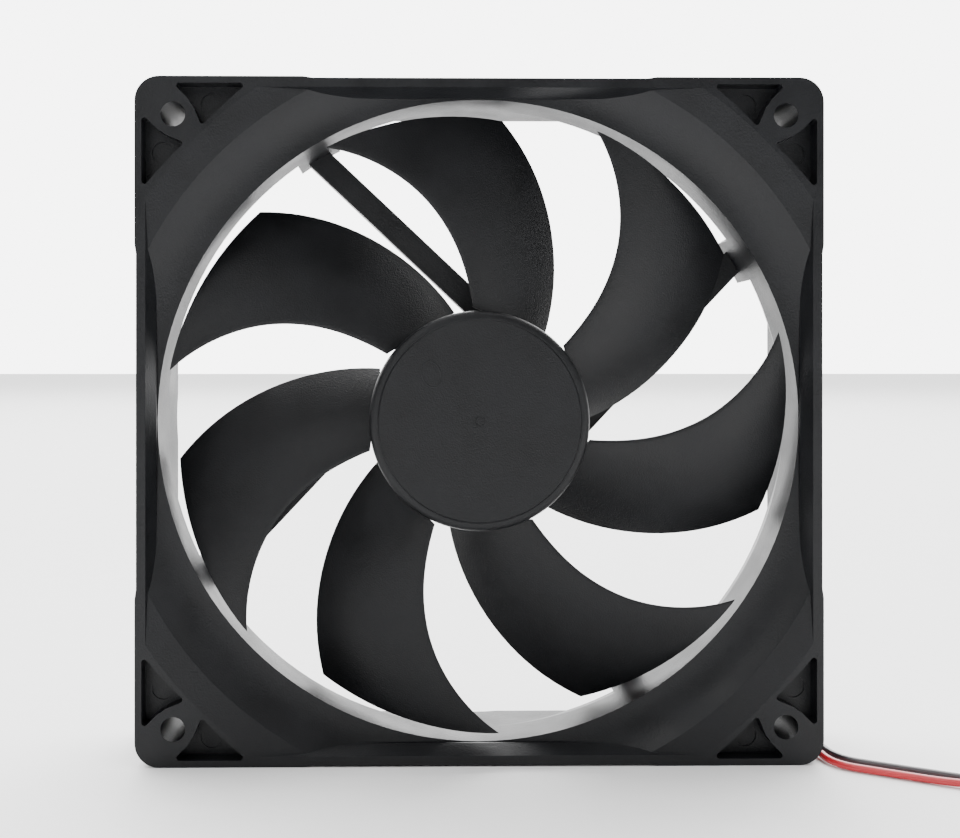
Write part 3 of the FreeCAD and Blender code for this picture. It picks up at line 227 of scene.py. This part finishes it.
FINISHES = {
    "frame_plastic": dict(
        dark=grey(0.005), light=grey(0.008), rough=(0.36, 0.48),
        grain=2600, depth=0.0001, specular=0.24,
    ),
    "impeller_plastic": dict(
        dark=grey(0.004), light=grey(0.007), rough=(0.38, 0.52),
        grain=3200, depth=0.00016, specular=0.24,
    ),
    "brass": dict(
        dark=(0.6, 0.43, 0.16), light=(0.74, 0.56, 0.25), rough=(0.22, 0.36),
        grain=900, depth=0.00002, metallic=1, stretch=(1, 12, 1),
    ),
    "bronze": dict(
        dark=(0.42, 0.27, 0.13), light=(0.56, 0.38, 0.2), rough=(0.36, 0.52),
        grain=4000, depth=0.00003, metallic=1,
    ),
    "nylon": dict(
        dark=(0.72, 0.7, 0.63), light=(0.82, 0.81, 0.75), rough=(0.4, 0.52),
        grain=1800, depth=0.00003,
    ),
    "electrical_steel": dict(
        dark=(0.2, 0.2, 0.22), light=(0.33, 0.33, 0.35), rough=(0.34, 0.5),
        grain=500, depth=0.00005, metallic=1, stretch=(1, 14, 1),
    ),
    "copper_wire": dict(
        dark=(0.45, 0.16, 0.05), light=(0.64, 0.27, 0.09), rough=(0.25, 0.38),
        grain=1100, depth=0.00012, metallic=1, coat=0.6, stretch=(0.3, 6, 6),
    ),
    "tin": dict(
        dark=(0.6, 0.6, 0.58), light=(0.76, 0.76, 0.74), rough=(0.24, 0.4),
        grain=1500, depth=0.00003, metallic=1,
    ),
    "board_laminate": dict(
        dark=(0.03, 0.15, 0.06), light=(0.06, 0.22, 0.09), rough=(0.3, 0.42),
        grain=1600, depth=0.00003, coat=0.4,
    ),
    "chip_epoxy": dict(
        dark=grey(0.018), light=grey(0.028), rough=(0.5, 0.66),
        grain=5000, depth=0.00003,
    ),
    "chip_ceramic": dict(
        dark=(0.42, 0.29, 0.16), light=(0.52, 0.38, 0.24), rough=(0.45, 0.6),
        grain=4000, depth=0.00002,
    ),
    "label_film": dict(
        dark=(0.2, 0.205, 0.21), light=(0.27, 0.275, 0.28), rough=(0.34, 0.48),
        grain=2200, depth=0.00002, metallic=0.5,
    ),
    "red_insulation": dict(
        dark=(0.42, 0.008, 0.016), light=(0.52, 0.014, 0.026), rough=(0.3, 0.42),
        grain=700, depth=0.00003, coat=0.15,
    ),
    "black_insulation": dict(
        dark=(0.02, 0.016, 0.02), light=(0.032, 0.026, 0.03), rough=(0.3, 0.42),
        grain=700, depth=0.00003, coat=0.15,
    ),
    "connector_nylon": dict(
        dark=(0.78, 0.76, 0.7), light=(0.87, 0.86, 0.81), rough=(0.36, 0.48),
        grain=1800, depth=0.00003,
    ),
    "yoke_steel": dict(
        dark=(0.32, 0.32, 0.33), light=(0.46, 0.46, 0.47), rough=(0.26, 0.42),
        grain=600, depth=0.00003, metallic=1, stretch=(1, 10, 1),
    ),
    "magnet_ferrite": dict(
        dark=grey(0.06), light=grey(0.1), rough=(0.55, 0.7),
        grain=3000, depth=0.00004,
    ),
    "shaft_steel": dict(
        dark=(0.62, 0.62, 0.63), light=(0.78, 0.78, 0.79), rough=(0.12, 0.22),
        grain=800, depth=0.00001, metallic=1, stretch=(1, 16, 1),
    ),
}
MATERIALS = {name: finish(name, **settings) for name, settings in FINISHES.items()}
slot_of = {part["node"]: part["material_slot"] for part in frame["record"]["subparts"]}
for name, obj in nodes.items():
    obj.data.materials.clear()
    obj.data.materials.append(MATERIALS[slot_of[name]])
for cord, slot in ((red_cord, "red_insulation"), (black_cord, "black_insulation")):
    cord.data.materials.append(MATERIALS[slot])


# ---- Hub mark -------------------------------------------------------------------------------

MARK_AT = (-9.9, 9.6)
MARK_HALF = (1.9, 2.7)
MARK_TILT = math.radians(18)
MARK_WIRE, MARK_FLATNESS = 0.16, 0.6
MARK_STEPS, WIRE_STEPS = 72, 10


def oval_mark(name, front):
    """The raised outline that a mould insert leaves on the hub, sunk half its depth in the face."""
    vertices, faces = [], []
    for n in range(MARK_STEPS):
        turn = 2 * math.pi * n / MARK_STEPS
        across, up = MARK_HALF[0] * math.cos(turn), MARK_HALF[1] * math.sin(turn)
        out = Vector((math.cos(turn) / MARK_HALF[0], math.sin(turn) / MARK_HALF[1])).normalized()
        for m in range(WIRE_STEPS):
            round_wire = 2 * math.pi * m / WIRE_STEPS
            x = across + out.x * MARK_WIRE * math.cos(round_wire)
            z = up + out.y * MARK_WIRE * math.cos(round_wire)
            vertices.append((
                (MARK_AT[0] + x * math.cos(MARK_TILT) - z * math.sin(MARK_TILT)) * MM,
                front - MARK_WIRE * math.sin(round_wire) * MM * MARK_FLATNESS,
                (MARK_AT[1] + x * math.sin(MARK_TILT) + z * math.cos(MARK_TILT)) * MM,
            ))
            next_n, next_m = (n + 1) % MARK_STEPS, (m + 1) % WIRE_STEPS
            here, after = n * WIRE_STEPS, next_n * WIRE_STEPS
            faces.append((here + m, here + next_m, after + next_m, after + m))
    mesh = bpy.data.meshes.new(name)
    mesh.from_pydata(vertices, [], faces)
    mesh.polygons.foreach_set("use_smooth", [True] * len(faces))
    mesh.materials.append(MATERIALS["impeller_plastic"])
    obj = bpy.data.objects.new(name, mesh)
    bpy.context.collection.objects.link(obj)
    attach(obj, "rotor")


HUB_DISC_RADIUS = 0.018
impeller_places = [v.co for v in nodes["impeller"].data.vertices]
hub_face = min(p.y for p in impeller_places if math.hypot(p.x, p.z) < HUB_DISC_RADIUS)
oval_mark("hub_insert_mark", hub_face)


# ---- Stage ----------------------------------------------------------------------------------

FLOOR_HALF = 9.0
FLOOR_LEVEL = -0.07005      # just under the frame, which stands at -0.07
floor_mesh = bpy.data.meshes.new("floor")
floor_corners = [(-1, -1), (1, -1), (1, 1), (-1, 1)]
floor_mesh.from_pydata(
    [(x * FLOOR_HALF, y * FLOOR_HALF, FLOOR_LEVEL) for x, y in floor_corners], [], [(0, 1, 2, 3)]
)
floor = bpy.data.objects.new("floor", floor_mesh)
bpy.context.collection.objects.link(floor)
floor_mesh.materials.append(
    finish("floor_paper", (0.86, 0.86, 0.86), (0.88, 0.88, 0.88), (0.7, 0.85), 300, 0.00002)
)

world = bpy.data.worlds.new("studio")
bpy.context.scene.world = world
world.use_nodes = True
sky = world.node_tree
background = sky.nodes["Background"]
background.inputs["Color"].default_value = (1, 1, 1, 1)
direction = sky.nodes.new("ShaderNodeTexCoord")
apart = sky.nodes.new("ShaderNodeSeparateXYZ")
sky.links.new(direction.outputs["Generated"], apart.inputs["Vector"])
# Bright behind the fan and dim in front of it, between these places on the world's Y direction.
BACKDROP_STRENGTH, ROOM_STRENGTH = 6.5, 0.16
DIM_UNTIL, BRIGHT_FROM = -0.15, 0.8
strength = ramp(
    sky, apart.outputs["Y"], ROOM_STRENGTH, BACKDROP_STRENGTH, start=DIM_UNTIL, stop=BRIGHT_FROM
)
sky.links.new(strength, background.inputs["Strength"])


def softbox(name, place, target, side, power):
    light = bpy.data.lights.new(name, "AREA")
    light.shape = "SQUARE"
    light.size = side
    light.energy = power
    obj = bpy.data.objects.new(name, light)
    bpy.context.collection.objects.link(obj)
    obj.location = place
    obj.rotation_euler = (Vector(target) - Vector(place)).to_track_quat("-Z", "Y").to_euler()


softbox("key", place=(-0.5, -0.9, 0.7), target=(0, 0, 0), side=0.7, power=6)
softbox("fill", place=(0.9, -0.7, 0.3), target=(0, 0, 0), side=0.7, power=3)
softbox("overhead", place=(0, 1.0, 1.6), target=(0, 0.9, 0), side=3.0, power=130)

bpy.context.view_layer.update()
